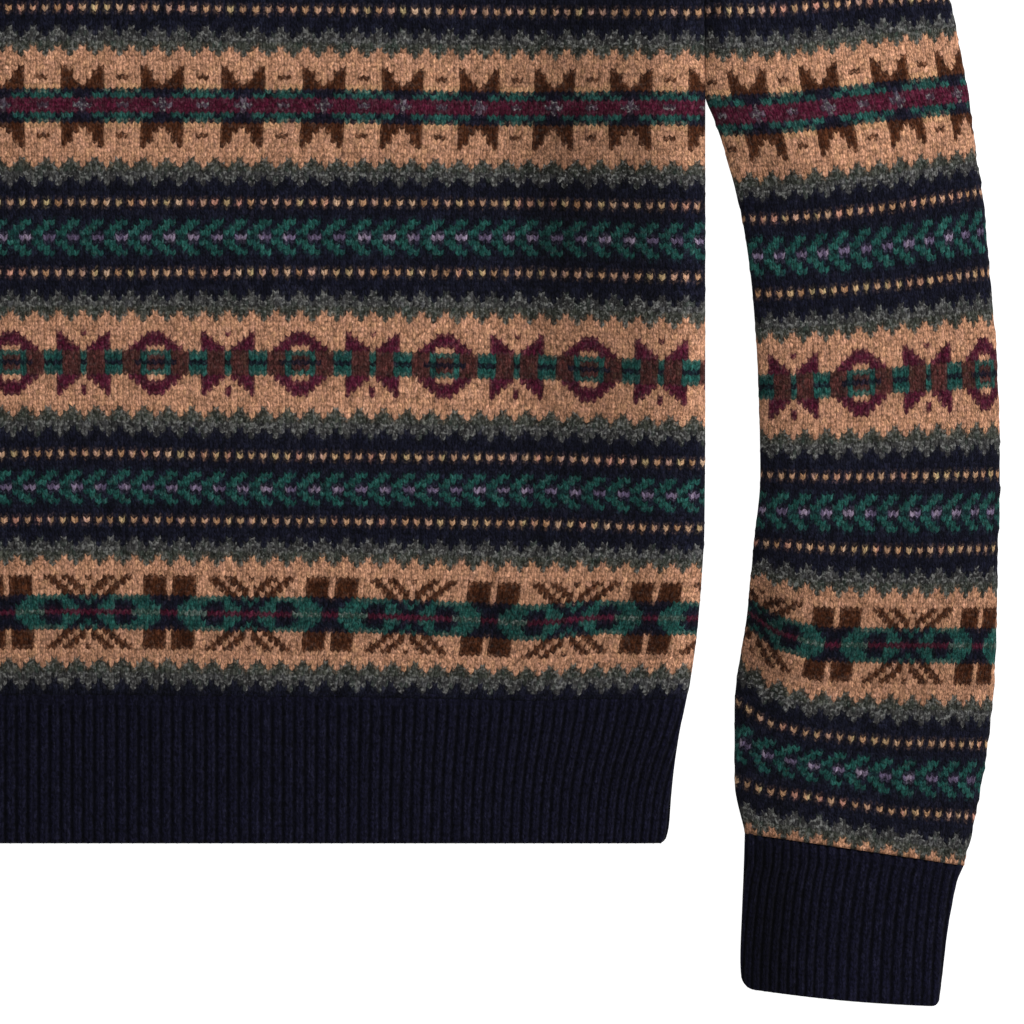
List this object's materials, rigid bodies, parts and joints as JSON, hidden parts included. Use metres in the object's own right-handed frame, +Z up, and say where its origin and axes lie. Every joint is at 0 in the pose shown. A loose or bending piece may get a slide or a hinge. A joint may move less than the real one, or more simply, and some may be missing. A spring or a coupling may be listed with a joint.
{
  "type": "fair isle jumper",
  "caption": "Crew-neck jumper in banded stranded knitting with ribbed hem, cuffs and neckband, laid flat and front up.",
  "frame": {"origin": "centre of the bounding box at the surface that the jumper lies on", "axes": "+X across the jumper to the wearer's left sleeve, +Y from the hem to the neck, +Z up off the surface, on the side of the front"},
  "size_m": [0.859, 0.7836, 0.0102],
  "materials": {
    "patterned_wool": "brushed stranded wool",
    "ribbed_wool": "ribbed navy wool"
  },
  "bodies": {
    "root": {"front": "patterned_wool", "back": "patterned_wool", "sleeve_left": "patterned_wool", "sleeve_right": "patterned_wool", "hem_rib_front": "ribbed_wool", "hem_rib_back": "ribbed_wool", "cuff_left": "ribbed_wool", "cuff_right": "ribbed_wool", "neckband": "ribbed_wool"}
  },
  "joints": []
}
